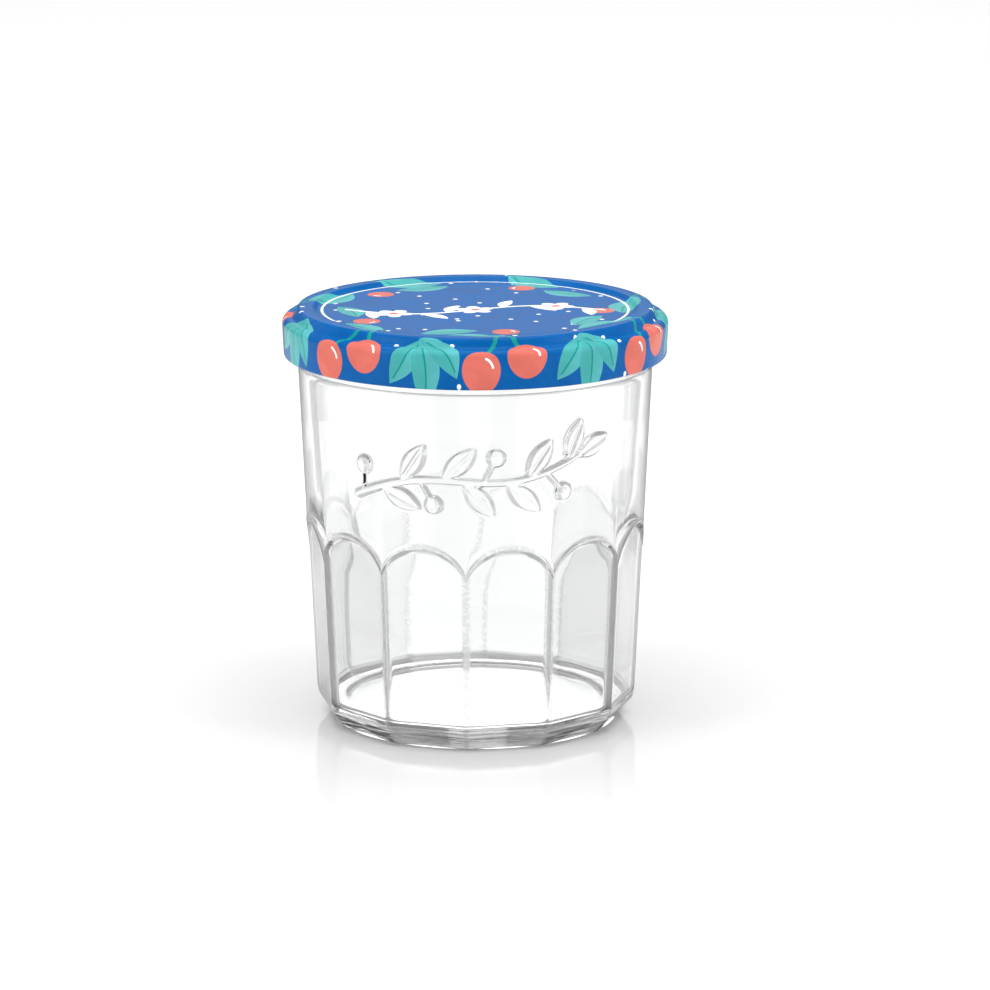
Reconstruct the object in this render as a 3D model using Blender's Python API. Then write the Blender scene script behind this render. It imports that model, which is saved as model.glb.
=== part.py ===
"""A jam jar of clear pressed glass with a twist-off lid of printed tinplate, closed and empty.

The jar tapers a little towards its foot. Twelve flat facets with arched tops are pressed into its lower
half, and a sprig of leaves and berries stands out from the front of its upper half. Its lip and its
slanting thread ribs are under the lid, which holds on to them with six lugs bent in from its rolled hem.
A ring of sealing compound lies in the lid's rim, over the lip.

Metres, +Z up. The origin is the centre of the foot, on the surface that the jar stands on. The front is
-Y, and an angle is measured from the front towards +X.
"""

import math

import bmesh
import bpy

# The tapered wall of the jar: its outer radius at the height of the foot, and what it gains on the way up.
WALL_RADIUS = 0.03575
WALL_TAPER = 0.0475
WALL_THICKNESS = 0.0026
BODY_TOP = 0.0806

# The facets, and the arched scoop in which each one ends.
FACETS = 12
FACET_ANGLE = math.tau / FACETS
FRONT_EDGE_ANGLE = math.radians(-3.0)
EDGE_ANGLE = math.radians(0.9)
EDGE_ROUNDING = 0.00007
ARCH_APEX = 0.0465
ARCH_RADIUS = 0.0102
ARCH_HALF_WIDTH = 0.0097
SCOOP_HEIGHT = 0.0018
SCOOP_HEIGHT_AT_EDGE = 0.0007

# The foot: a chamfered heel, a flat ring to stand on, and a shallow flat push-up inside it.
HEEL_TOP = 0.0048
HEEL_EDGE = 0.0036
HEEL_EDGE_INSET = 0.00025
FOOT_VERTEX_RADIUS = 0.0324
FOOT_ROUNDING = 0.0005
FOOT_INNER_RADIUS = 0.0292
PUSH_UP = 0.0005

# The inside of the jar.
FLOOR = 0.0050
FLOOR_CORNER = 0.0016
INNER_ROUND_FROM = 0.0500
INNER_FACETS_TO = 0.0380
BORE_RADIUS = 0.0366

# The bead under the lid, the neck, the thread ribs and the lip.
BEAD_BOTTOM = 0.0810
BEAD_TOP = 0.0832
BEAD_RADIUS = 0.0398
NECK_RADIUS = 0.0393
LIP_TOP = 0.09195
LIP_ROUNDING = 0.0009
LUGS = 6
RIB_RADIUS = 0.0410
RIB_HALF_ANGLE = math.radians(19.0)
RIB_MIDDLE = 0.0859
RIB_RISE = 0.0010
RIB_HALF_HEIGHT = 0.0009

# The lid, a pressed sheet: from the middle of its panel out over the rim and down the skirt.
LID_BOTTOM = 0.0826
LID_TOP = 0.09345
SHEET = 0.0003
PANEL_DEPTH = 0.0009
PANEL_RADIUS = 0.0348
RIM_INNER_RADIUS = 0.0362
RIM_OUTER_RADIUS = 0.0394
COVE_RADIUS = 0.0407
COVE_DEPTH = 0.0021
SHOULDER_RADIUS = 0.0430
SHOULDER_ROUNDING = 0.0015
SKIRT_BOTTOM_RADIUS = 0.0427
HEM_WIDTH = 0.0013
HEM_HEIGHT = 0.0014
LUG_REACH = 0.0009
LUG_HALF_ANGLE = math.radians(7.0)
LID_COLUMNS = 60

# The sealing ring, clear of the lip below it and of the rim above it.
SEAL_GAP = 0.0003
SEAL_INNER_RADIUS = 0.0366
SEAL_OUTER_RADIUS = 0.0383
SEAL_THICKNESS = 0.00055

# The raised sprig: its middle on the wall, the run of its stem, and its leaves and stalked berries.
SPRIG_ACROSS = -0.0020
SPRIG_HEIGHT = 0.0617
SPRIG_HALF_LENGTH = 0.0255
SPRIG_RISE = 0.0045
SPRIG_WAVE = 0.0020
STEM_HALF_WIDTH = 0.0009
STEM_STEPS = 16
RELIEF = 0.0006
RELIEF_ROOT = 0.0008
SPRIG_PLACES = 11
BERRY_EVERY = 3
LEAF_LENGTH = 0.0110
LEAF_WIDTH = 0.0052
LEAF_ANGLE = math.radians(44.0)
LEAF_STEPS = 6
LEAF_INSET = 0.72
BERRY_RADIUS = 0.0023
BERRY_SIDES = 12
STALK_LENGTH = 0.0062
STALK_HALF_WIDTH = 0.0005
STALK_ANGLE = math.radians(66.0)


def place(angle, radius, height):
    """The point at this angle from the front, this far from the jar's axis and this high."""
    return (radius * math.sin(angle), -radius * math.cos(angle), height)


def wall_radius(height):
    """The outer radius of the tapered wall, and of the facets' edges, at this height."""
    return WALL_RADIUS + WALL_TAPER * height


def facet_angle(angle):
    """The angle from the middle of the facet in which this angle lies."""
    from_edge = (angle - FRONT_EDGE_ANGLE) % FACET_ANGLE
    return from_edge - FACET_ANGLE / 2


def flat_radius(edge_radius, angle):
    """The radius of a twelve-sided outline with its rounded corners at edge_radius."""
    across = facet_angle(angle)
    flat = edge_radius * math.cos(FACET_ANGLE / 2) / math.cos(across)
    return min(flat, edge_radius - EDGE_ROUNDING)


def arch_height(angle):
    """The height at which the arched top of the facet meets the round wall."""
    across = facet_angle(angle) / (FACET_ANGLE / 2) * ARCH_HALF_WIDTH
    return ARCH_APEX - ARCH_RADIUS + math.sqrt(ARCH_RADIUS**2 - across**2)


def scoop_foot(angle):
    """The height at which the flat of the facet starts to curve out towards its arch."""
    across = abs(facet_angle(angle)) / (FACET_ANGLE / 2)
    drop = SCOOP_HEIGHT + (SCOOP_HEIGHT_AT_EDGE - SCOOP_HEIGHT) * across**2
    return arch_height(angle) - drop


def scoop_point(angle, share):
    """(radius, height) on the scoop, from 0 at its foot on the flat to 1 at the arch."""
    foot, top = scoop_foot(angle), arch_height(angle)
    height = foot + (top - foot) * share
    flat = flat_radius(wall_radius(height), angle)
    blend = share * share * (3 - 2 * share)
    return flat + (wall_radius(height) - flat) * blend, height


def rib_point(angle, side):
    """(radius, height) on a slanting thread rib, from -1 at its underside to 1 at its top side."""
    step = math.tau / LUGS
    across = (angle + step / 2) % step - step / 2
    ends = min(1.0, max(0.0, (RIB_HALF_ANGLE - abs(across)) / math.radians(4.0)))
    middle = RIB_MIDDLE + RIB_RISE * across / RIB_HALF_ANGLE / 2 * ends
    swell = 1.0 if abs(side) < 0.6 else 0.0
    return NECK_RADIUS + (RIB_RADIUS - NECK_RADIUS) * ends * swell, middle + RIB_HALF_HEIGHT * side


def round_ring(radius, height):
    """A ring of one radius at one height."""
    return lambda angle: (radius, height)


def flat_ring(edge_radius, height):
    """A twelve-sided ring at one height."""
    return lambda angle: (flat_radius(edge_radius, angle), height)


def made_object(name, shape):
    """A new object in the scene with this shape as its mesh, its faces turned outward."""
    bmesh.ops.recalc_face_normals(shape, faces=shape.faces)
    mesh = bpy.data.meshes.new(name)
    shape.to_mesh(mesh)
    shape.free()
    made = bpy.data.objects.new(name, mesh)
    bpy.context.scene.collection.objects.link(made)
    return made


def skin(name, rings, angles, bottom, top):
    """One closed mesh through these rings, each a function of the angle, with a pole at both ends.

    bottom and top are the heights of the poles on the axis, or both None where the last ring meets
    the first one again.
    """
    shape = bmesh.new()
    rows = [[shape.verts.new(place(a, *ring(a))) for a in angles] for ring in rings]
    pairs = list(zip(rows, rows[1:]))
    if bottom is None:
        pairs.append((rows[-1], rows[0]))
    for low, high in pairs:
        for i in range(len(angles)):
            j = (i + 1) % len(angles)
            shape.faces.new((low[i], low[j], high[j], high[i]))
    if bottom is not None:
        first, last = shape.verts.new((0, 0, bottom)), shape.verts.new((0, 0, top))
        for i in range(len(angles)):
            j = (i + 1) % len(angles)
            shape.faces.new((rows[0][j], rows[0][i], first))
            shape.faces.new((rows[-1][i], rows[-1][j], last))
    return made_object(name, shape)


def even_angles(count):
    """Angles at equal steps all the way round."""
    return [math.tau * i / count for i in range(count)]


def facet_columns():
    """Angles that put a column on each edge of the facets, on both sides of it, and across the flats."""
    steps = (0.0, EDGE_ANGLE, FACET_ANGLE * 0.26, FACET_ANGLE / 2, FACET_ANGLE * 0.74, FACET_ANGLE - EDGE_ANGLE)
    return [FRONT_EDGE_ANGLE + FACET_ANGLE * facet + step for facet in range(FACETS) for step in steps]


def foot_rings():
    """The underside, from the push-up out to the top of the chamfered heel."""
    return [
        round_ring(FOOT_INNER_RADIUS * 0.86, PUSH_UP),
        round_ring(FOOT_INNER_RADIUS * 0.93, PUSH_UP * 0.5),
        round_ring(FOOT_INNER_RADIUS, 0.0),
        flat_ring(FOOT_VERTEX_RADIUS, 0.0),
        flat_ring(FOOT_VERTEX_RADIUS + FOOT_ROUNDING, FOOT_ROUNDING * 0.6),
        flat_ring(wall_radius(HEEL_EDGE) - HEEL_EDGE_INSET, HEEL_EDGE),
        flat_ring(wall_radius(HEEL_TOP), HEEL_TOP),
    ]


def wall_rings():
    """The outside of the wall: the scoop at the top of the facets, the round part and the bead."""
    scoop = [lambda angle, share=share: scoop_point(angle, share) for share in (0.0, 0.33, 0.67, 1.0)]
    return scoop + [
        round_ring(wall_radius(ARCH_APEX + 0.0012), ARCH_APEX + 0.0012),
        round_ring(wall_radius(BODY_TOP), BODY_TOP),
        round_ring(BEAD_RADIUS, BEAD_BOTTOM),
        round_ring(BEAD_RADIUS, BEAD_TOP),
        round_ring(NECK_RADIUS, BEAD_TOP + (BEAD_RADIUS - NECK_RADIUS)),
    ]


def finish_rings():
    """The thread ribs and the rounded lip, over to the bore."""
    ribs = [lambda angle, side=side: rib_point(angle, side) for side in (-1.0, -0.5, 0.5, 1.0)]
    return ribs + [
        round_ring(NECK_RADIUS, LIP_TOP - LIP_ROUNDING),
        round_ring(NECK_RADIUS - LIP_ROUNDING * 0.3, LIP_TOP - LIP_ROUNDING * 0.3),
        round_ring(NECK_RADIUS - LIP_ROUNDING, LIP_TOP),
        round_ring(BORE_RADIUS + LIP_ROUNDING, LIP_TOP),
        round_ring(BORE_RADIUS + LIP_ROUNDING * 0.3, LIP_TOP - LIP_ROUNDING * 0.3),
        round_ring(BORE_RADIUS, LIP_TOP - LIP_ROUNDING),
    ]


def inner_rings():
    """The inside, from below the lip down to the floor."""
    above_floor = FLOOR + FLOOR_CORNER
    edge = wall_radius(above_floor) - WALL_THICKNESS
    return [
        round_ring(wall_radius(BODY_TOP) - WALL_THICKNESS, BODY_TOP),
        round_ring(wall_radius(INNER_ROUND_FROM) - WALL_THICKNESS, INNER_ROUND_FROM),
        flat_ring(wall_radius(INNER_FACETS_TO) - WALL_THICKNESS, INNER_FACETS_TO),
        flat_ring(edge, above_floor),
        flat_ring(edge - FLOOR_CORNER * 0.3, FLOOR + FLOOR_CORNER * 0.3),
        round_ring((edge - FLOOR_CORNER) * 0.985, FLOOR),
        round_ring(edge * 0.5, FLOOR - 0.0002),
    ]


def glass_jar():
    """The jar, one solid with its facets, foot, bead, ribs and lip."""
    rings = foot_rings() + wall_rings() + finish_rings() + inner_rings()
    return skin("glass_jar", rings, facet_columns(), PUSH_UP, FLOOR - 0.0002)


def on_wall(across, up, out):
    """The point this far across the wall from its front, up from the sprig's height and out from the glass."""
    height = SPRIG_HEIGHT + up
    radius = wall_radius(height)
    return place(across / radius, radius + out, height)


def stem_point(share):
    """(across, up) on the stem, from 0 at its left end to 1 at its right end."""
    along = 2 * share - 1
    return SPRIG_ACROSS + SPRIG_HALF_LENGTH * along, SPRIG_RISE * along + SPRIG_WAVE * math.sin(math.tau * share)


def stem_angle(share):
    """The direction of the stem there."""
    step = 0.01
    start, end = stem_point(share - step), stem_point(share + step)
    return math.atan2(end[1] - start[1], end[0] - start[0])


def relief_pad(name, outlines):
    """A closed pad through these outlines of (across, up, out), from its root in the glass to its top."""
    shape = bmesh.new()
    rows = [[shape.verts.new(on_wall(*point)) for point in outline] for outline in outlines]
    count = len(rows[0])
    for low, high in zip(rows, rows[1:]):
        for i in range(count):
            shape.faces.new((low[i], low[(i + 1) % count], high[(i + 1) % count], high[i]))
    shape.faces.new(rows[0])
    shape.faces.new(rows[-1])
    bmesh.ops.triangulate(shape, faces=shape.faces)
    return made_object(name, shape)


def leaf(name, root, turn):
    """A pointed leaf that grows from root in the direction of turn."""
    along, wide = (math.cos(turn), math.sin(turn)), (-math.sin(turn), math.cos(turn))

    def outline(scale, out):
        points = []
        for i in range(2 * LEAF_STEPS):
            lengthways = math.cos(math.pi * i / LEAF_STEPS)
            crosswise = (1 - lengthways**2) * math.copysign(1, LEAF_STEPS - i) * LEAF_WIDTH / 2 * scale
            middle = LEAF_LENGTH / 2 * (1 + lengthways * scale)
            across = root[0] + along[0] * middle + wide[0] * crosswise
            up = root[1] + along[1] * middle + wide[1] * crosswise
            points.append((across, up, out))
        return points

    layers = [outline(1.0, -RELIEF_ROOT), outline(1.0, RELIEF * 0.3), outline(LEAF_INSET, RELIEF)]
    return relief_pad(name, layers)


def berry(name, middle):
    """A round berry with its middle here."""
    layers = []
    for scale, out in ((1.0, -RELIEF_ROOT), (1.0, RELIEF * 0.3), (0.75, RELIEF), (0.35, RELIEF * 1.35)):
        ring = []
        for i in range(BERRY_SIDES):
            turn = math.tau * i / BERRY_SIDES
            across = middle[0] + BERRY_RADIUS * scale * math.cos(turn)
            ring.append((across, middle[1] + BERRY_RADIUS * scale * math.sin(turn), out))
        layers.append(ring)
    return relief_pad(name, layers)


def rib_along(name, line, half_widths):
    """A low rounded rib along this line of ((across, up), direction), as wide as half_widths says."""
    layers = []
    for inset, out in ((1.0, -RELIEF_ROOT), (1.0, RELIEF * 0.3), (0.5, RELIEF * 0.9)):
        upper, lower = [], []
        for (point, turn), half_width in zip(line, half_widths):
            half = half_width * inset
            upper.append((point[0] - math.sin(turn) * half, point[1] + math.cos(turn) * half, out))
            lower.append((point[0] + math.sin(turn) * half, point[1] - math.cos(turn) * half, out))
        layers.append(lower + upper[::-1])
    return relief_pad(name, layers)


def sprig_pieces():
    """The stem, with a leaf or a stalked berry at each place, on its upper and its lower side by turns."""
    shares = [i / STEM_STEPS for i in range(STEM_STEPS + 1)]
    line = [(stem_point(share), stem_angle(share)) for share in shares]
    pieces = [rib_along("stem", line, [STEM_HALF_WIDTH * (1 - 0.4 * share) for share in shares])]
    pieces.append(leaf("leaf_at_end", stem_point(0.985), stem_angle(0.985)))
    for number in range(SPRIG_PLACES):
        share = (number + 0.35) / SPRIG_PLACES
        side = 1 if number % 2 == 0 else -1
        root, stem_turn = stem_point(share), stem_angle(share)
        if number % BERRY_EVERY:
            pieces.append(leaf(f"leaf_{number}", root, stem_turn + side * LEAF_ANGLE))
            continue
        turn = stem_turn + side * STALK_ANGLE
        end = (root[0] + math.cos(turn) * STALK_LENGTH, root[1] + math.sin(turn) * STALK_LENGTH)
        pieces.append(rib_along(f"stalk_{number}", [(root, turn), (end, turn)], [STALK_HALF_WIDTH] * 2))
        pieces.append(berry(f"berry_{number}", end))
    return pieces


def raise_sprig(jar):
    """Fuses the sprig to the front of the jar."""
    pieces = sprig_pieces()
    sprig = bpy.data.collections.new("sprig")
    for piece in pieces:
        sprig.objects.link(piece)
    union = jar.modifiers.new("sprig", "BOOLEAN")
    union.operation = "UNION"
    union.operand_type = "COLLECTION"
    union.collection = sprig
    union.solver = "EXACT"
    bpy.context.view_layer.objects.active = jar
    bpy.ops.object.modifier_apply(modifier=union.name)
    for piece in pieces:
        bpy.data.objects.remove(piece)
    bpy.data.collections.remove(sprig)


def pressed_sheet():
    """(radius, height) along the outside of the lid, from its panel to the bottom of its skirt."""
    panel = LID_TOP - PANEL_DEPTH
    cove = LID_TOP - COVE_DEPTH
    shoulder = cove - SHOULDER_ROUNDING * 0.1
    return [
        (PANEL_RADIUS * 0.5, panel),
        (PANEL_RADIUS, panel),
        (PANEL_RADIUS + 0.0004, panel + PANEL_DEPTH * 0.15),
        (RIM_INNER_RADIUS - 0.0002, LID_TOP - PANEL_DEPTH * 0.15),
        (RIM_INNER_RADIUS + 0.0004, LID_TOP),
        (RIM_OUTER_RADIUS - 0.0004, LID_TOP),
        (RIM_OUTER_RADIUS + 0.0003, LID_TOP - COVE_DEPTH * 0.18),
        (COVE_RADIUS - 0.0003, cove + COVE_DEPTH * 0.12),
        (COVE_RADIUS + 0.0004, cove),
        (SHOULDER_RADIUS - SHOULDER_ROUNDING * 0.75, shoulder),
        (SHOULDER_RADIUS - SHOULDER_ROUNDING * 0.25, shoulder - SHOULDER_ROUNDING * 0.35),
        (SHOULDER_RADIUS, shoulder - SHOULDER_ROUNDING),
        (SKIRT_BOTTOM_RADIUS, LID_BOTTOM + HEM_HEIGHT * 0.5),
    ]


def under_sheet(profile):
    """The same line one sheet's thickness further in, point by point."""
    inner = []
    for i, (radius, height) in enumerate(profile):
        before = profile[i - 1] if i else (radius - 1, height)
        after = profile[i + 1] if i + 1 < len(profile) else (radius, height - 1)
        first = math.atan2(height - before[1], radius - before[0])
        second = math.atan2(after[1] - height, after[0] - radius)
        turn = (first + second) / 2
        reach = SHEET / math.cos((second - first) / 2)
        inner.append((radius + math.sin(turn) * reach, height - math.cos(turn) * reach))
    return inner


def hem_ring(inwards, up):
    """A ring on the rolled hem, this far in from the skirt and up from the bottom, bent in at each lug."""

    def ring(angle):
        step = math.tau / LUGS
        across = abs((angle + step / 2) % step - step / 2)
        lug = LUG_REACH if across < LUG_HALF_ANGLE and inwards > HEM_WIDTH / 2 else 0.0
        return SKIRT_BOTTOM_RADIUS - inwards - lug, LID_BOTTOM + up

    return ring


def lid():
    """The twist-off lid, one sheet with a closed hem and six lugs."""
    outside = pressed_sheet()
    inside = under_sheet(outside)
    inside[-1] = (SKIRT_BOTTOM_RADIUS - SHEET, LID_BOTTOM + HEM_HEIGHT)
    hem = [
        hem_ring(HEM_WIDTH * 0.2, HEM_HEIGHT * 0.1),
        hem_ring(HEM_WIDTH * 0.45, 0.0),
        hem_ring(HEM_WIDTH * 0.85, HEM_HEIGHT * 0.12),
        hem_ring(HEM_WIDTH, HEM_HEIGHT * 0.4),
        hem_ring(HEM_WIDTH * 0.9, HEM_HEIGHT * 0.8),
    ]
    rings = [round_ring(*point) for point in outside] + hem + [round_ring(*point) for point in inside[::-1]]
    return skin("lid", rings, even_angles(LID_COLUMNS), outside[0][1], inside[0][1])


def lid_seal():
    """The ring of sealing compound between the lip and the lid's rim."""
    low = LIP_TOP + SEAL_GAP
    high = low + SEAL_THICKNESS
    bulge = SEAL_THICKNESS * 0.4
    rings = [
        round_ring(SEAL_INNER_RADIUS, high),
        round_ring(SEAL_INNER_RADIUS, low + bulge),
        round_ring(SEAL_INNER_RADIUS + bulge, low),
        round_ring(SEAL_OUTER_RADIUS - bulge, low),
        round_ring(SEAL_OUTER_RADIUS, low + bulge),
        round_ring(SEAL_OUTER_RADIUS, high),
    ]
    return skin("lid_seal", rings, even_angles(LID_COLUMNS), None, None)


def finish(piece, colour, roughness, transmission, sharp_degrees):
    """Gives a piece its own material, and smooth shading except at its sharp edges."""
    material = bpy.data.materials.new(piece.name)
    material.use_nodes = True
    surface = material.node_tree.nodes["Principled BSDF"]
    surface.inputs["Base Color"].default_value = (*colour, 1.0)
    surface.inputs["Roughness"].default_value = roughness
    surface.inputs["Transmission Weight"].default_value = transmission
    piece.data.materials.append(material)
    piece.data.shade_smooth()
    piece.data.set_sharp_from_angle(angle=math.radians(sharp_degrees))


def build():
    """Makes the jar, the lid and the sealing ring."""
    for old in list(bpy.data.objects):
        bpy.data.objects.remove(old)
    jar = glass_jar()
    raise_sprig(jar)
    finish(jar, (0.93, 0.96, 0.96), 0.03, 1.0, 25.0)
    finish(lid(), (0.01, 0.10, 0.42), 0.25, 0.0, 50.0)
    finish(lid_seal(), (0.86, 0.85, 0.80), 0.5, 0.0, 50.0)


build()
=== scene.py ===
"""The looks of an empty faceted jam jar with a printed twist-off lid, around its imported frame.

The jar and the lid are turned from drawn profiles, and the jar is then pressed to its facets, its heel, its
thread ribs and the raised sprig on its front. Lengths are in metres. The front is -Y, and an angle is
measured from the front towards +X.
"""

import bisect
import math

import bmesh
import bpy
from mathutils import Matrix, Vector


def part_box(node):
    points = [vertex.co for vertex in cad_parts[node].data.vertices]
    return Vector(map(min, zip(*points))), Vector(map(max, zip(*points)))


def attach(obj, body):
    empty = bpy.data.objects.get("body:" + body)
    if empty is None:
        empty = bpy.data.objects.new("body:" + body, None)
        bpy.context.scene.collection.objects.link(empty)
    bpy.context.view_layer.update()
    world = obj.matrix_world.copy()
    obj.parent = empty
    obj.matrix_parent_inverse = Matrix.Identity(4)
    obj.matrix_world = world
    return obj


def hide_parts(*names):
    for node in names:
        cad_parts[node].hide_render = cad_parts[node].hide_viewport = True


bl_info = {
    "name": "Faceted jam jar",
    "version": (1, 0, 0),
    "blender": (4, 5, 0),
    "location": "3D View > Sidebar > Jam jar",
    "description": "Makes a pressed glass jam jar with its printed lid, and a pale studio around it",
    "category": "Add Mesh",
}

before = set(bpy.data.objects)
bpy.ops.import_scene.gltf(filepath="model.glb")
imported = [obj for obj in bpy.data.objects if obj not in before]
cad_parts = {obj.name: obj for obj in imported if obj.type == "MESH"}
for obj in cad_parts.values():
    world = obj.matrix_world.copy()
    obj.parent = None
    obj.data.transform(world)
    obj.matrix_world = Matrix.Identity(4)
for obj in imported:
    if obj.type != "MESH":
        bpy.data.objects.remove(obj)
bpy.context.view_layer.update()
LID_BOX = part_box("lid")

MILLIMETRE = 0.001
WHITE = (1.0, 1.0, 1.0, 1.0)

# Twelve facets, with one edge just left of the front. Each arch spans this share of its circle's width.
FACET_ANGLE = math.tau / 12
FRONT_EDGE_ANGLE = math.radians(-3.0)
ARCH_SPREAD = 0.95
# Six lugs on the lid, and as many ribs on the neck.
LUG_ANGLE = math.tau / 6
RIB_HALF_ANGLE = math.radians(19.0)
# The fine dark line of painted shade is this far below the middle of the bead.
BEAD_SHADE_DROP = 0.00085
# In millimetres on the lid's flat sheet: the softness of an ink's edge, and the waving stem of the spray.
INK_EDGE = 0.06
SPRAY_WAVE = 9.0
SPRAY_RISE = 5.0
SPRAY_MIDDLE = -1.0
PRINT_GROUPS = 7


def number(name, default, description, **kind):
    """A property for a number of this kind, such as a unit."""
    return bpy.props.FloatProperty(name=name, description=description, default=default, **kind)


def length(name, default, description):
    """A property for a length in metres."""
    return number(name, default, description, unit="LENGTH", precision=5)


def colour(name, default, description):
    """A property for a colour."""
    return bpy.props.FloatVectorProperty(
        name=name, description=description, default=default, size=3, subtype="COLOR", min=0.0, max=1.0
    )


class JamJarGlass(bpy.types.PropertyGroup):
    """The sizes of the jar."""

    wall_radius: length("Wall radius", 0.03575, "Outer radius of the tapered wall, carried down to the foot")
    taper: number("Taper", 0.0475, "What the wall's radius gains for each metre of height")
    thickness: length("Thickness", 0.0026, "Thickness of the wall")
    floor: length("Floor", 0.0050, "Height of the inside floor")
    floor_corner: length("Floor corner", 0.0016, "Radius of the corner between wall and floor, inside")
    foot_radius: length("Foot radius", 0.0324, "Radius of the corners of the foot")
    foot_hollow: length("Foot hollow", 0.0292, "Radius of the push-up inside the foot")
    push_up: length("Push-up", 0.0005, "Height of the push-up in the foot")
    heel: length("Heel", 0.0042, "Height of the chamfered heel")
    arch_apex: length("Arch apex", 0.0465, "Height of the tops of the facets' arches")
    arch_radius: length("Arch radius", 0.0102, "Radius of the facets' arches")
    scoop: length("Scoop", 0.0018, "Height of the curve between a facet and its arch, in the middle")
    edge_round: length("Edge rounding", 0.0030, "Radius of the rounded edges between the facets")
    rim: length("Arch rim", 0.00022, "Height of the soft rim along each arch")
    rim_width: length("Arch rim width", 0.00062, "Distance over which that rim falls away")
    ridge: length("Ridge", 0.00007, "Height of the fine ridge along each edge")
    ridge_width: length("Ridge width", 0.00040, "Distance over which that ridge falls away")
    bead_height: length("Bead height", 0.0816, "Height of the middle of the bead under the lid")
    bead_radius: length("Bead radius", 0.0398, "Outer radius of the bead")
    neck_radius: length("Neck radius", 0.0393, "Outer radius of the neck inside the lid")
    bore_radius: length("Bore radius", 0.0366, "Inner radius of the mouth")
    lip_top: length("Lip top", 0.09195, "Height of the rounded lip")
    rib_radius: length("Rib radius", 0.0410, "Outer radius of the thread ribs")
    rib_height: length("Rib height", 0.0859, "Height of the middle of the thread ribs")
    relief: length("Relief", 0.0008, "How far the sprig stands out from the wall")
    sprig_height: length("Sprig height", 0.0617, "Height of the middle of the sprig")


class JamJarLid(bpy.types.PropertyGroup):
    """The sizes of the lid."""

    radius: length("Radius", LID_BOX[1].x, "Outer radius at the shoulder")
    skirt_radius: length("Skirt radius", 0.0427, "Outer radius at the bottom of the skirt")
    bottom: length("Bottom", LID_BOX[0].z, "Height of the bottom of the hem")
    top: length("Top", LID_BOX[1].z, "Height of the top of the rim")
    sheet: length("Sheet", 0.0003, "Thickness of the metal sheet")
    panel_radius: length("Panel radius", 0.0348, "Radius of the flat panel in the rim")
    panel_depth: length("Panel depth", 0.0009, "Depth of the panel below the rim")
    cove_depth: length("Cove depth", 0.0021, "Depth of the cove outside the rim")
    hem_width: length("Hem width", 0.0013, "Width of the rolled hem")
    lug_reach: length("Lug reach", 0.0009, "How far each lug is bent in from the hem")


class JamJarColours(bpy.types.PropertyGroup):
    """The colours of the printing and of the other finishes."""

    ground: colour("Ground", (0.001, 0.098, 0.338), "Ground of the printed lid")
    fruit: colour("Fruit", (0.637, 0.149, 0.115), "Printed fruit")
    leaf: colour("Leaf", (0.083, 0.400, 0.414), "Printed leaves")
    leaf_dark: colour("Leaf rib", (0.008, 0.270, 0.230), "Ribs and stalks of the printed leaves")
    line: colour("Line", (0.900, 0.900, 0.890), "White lines, blossoms and dots")
    lacquer: colour("Lacquer", (0.780, 0.770, 0.740), "Lacquer on the underside of the lid")
    seal: colour("Seal", (0.720, 0.700, 0.640), "Sealing compound")


class JamJarStage(bpy.types.PropertyGroup):
    """The camera and the lights."""

    camera_distance: length("Camera distance", 1.000, "Level distance from the camera to the jar's axis")
    camera_height: length("Camera height", 0.2779, "Height of the camera over the floor")
    camera_aside: length("Camera aside", 0.0044, "How far right of the jar's axis the camera stands")
    camera_pitch: number("Camera pitch", 0.2240, "How far the camera looks down", subtype="ANGLE")
    camera_lens: number("Lens", 166.07, "Focal length of the camera", unit="CAMERA")
    floor_size: length("Floor size", 8.0, "Width of the floor")
    top_light: number("Top light", 20.0, "Power of the softbox overhead", unit="POWER")
    side_light: number("Side light", 5.0, "Power of each softbox at the sides", unit="POWER")


# Making meshes with Blender's own operators.


def deselect_all():
    """Leaves object mode with nothing selected and nothing active."""
    if bpy.context.object and bpy.context.object.mode != "OBJECT":
        bpy.ops.object.mode_set(mode="OBJECT")
    bpy.ops.object.select_all(action="DESELECT")
    bpy.context.view_layer.objects.active = None


def draw_profile(name, points):
    """A line through these points of (radius, height), drawn from one corner of a plane."""
    deselect_all()
    bpy.ops.mesh.primitive_plane_add(size=2 * MILLIMETRE, location=(0, 0, 0))
    piece = bpy.context.object
    piece.name = piece.data.name = name
    bpy.ops.object.mode_set(mode="EDIT")
    bpy.ops.mesh.select_all(action="DESELECT")
    shape = bmesh.from_edit_mesh(piece.data)
    for corner in shape.verts:
        corner.select = corner.index != 0
    bmesh.update_edit_mesh(piece.data)
    bpy.ops.mesh.delete(type="VERT")
    bpy.ops.mesh.select_all(action="SELECT")
    here = bmesh.from_edit_mesh(piece.data).verts[:][0].co.copy()
    first = points[0]
    bpy.ops.transform.translate(value=(first[0] - here.x, -here.y, first[1] - here.z))
    for last, point in zip(points, points[1:]):
        step = (point[0] - last[0], 0, point[1] - last[1])
        bpy.ops.mesh.extrude_region_move(TRANSFORM_OT_translate={"value": step})
    return piece


def turn_profile(piece, columns):
    """Turns the drawn line once round the axis, and closes the seam and the poles."""
    bpy.ops.object.mode_set(mode="OBJECT")
    bpy.ops.object.modifier_add(type="SCREW")
    screw = piece.modifiers[-1]
    screw.steps = screw.render_steps = columns
    screw.use_merge_vertices = True
    screw.merge_threshold = MILLIMETRE * 0.002
    bpy.ops.object.modifier_apply(modifier=screw.name)
    bpy.ops.object.mode_set(mode="EDIT")
    bpy.ops.mesh.select_all(action="SELECT")
    bpy.ops.mesh.remove_doubles(threshold=MILLIMETRE * 0.002)
    bpy.ops.mesh.normals_make_consistent(inside=False)
    bpy.ops.object.mode_set(mode="OBJECT")


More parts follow.
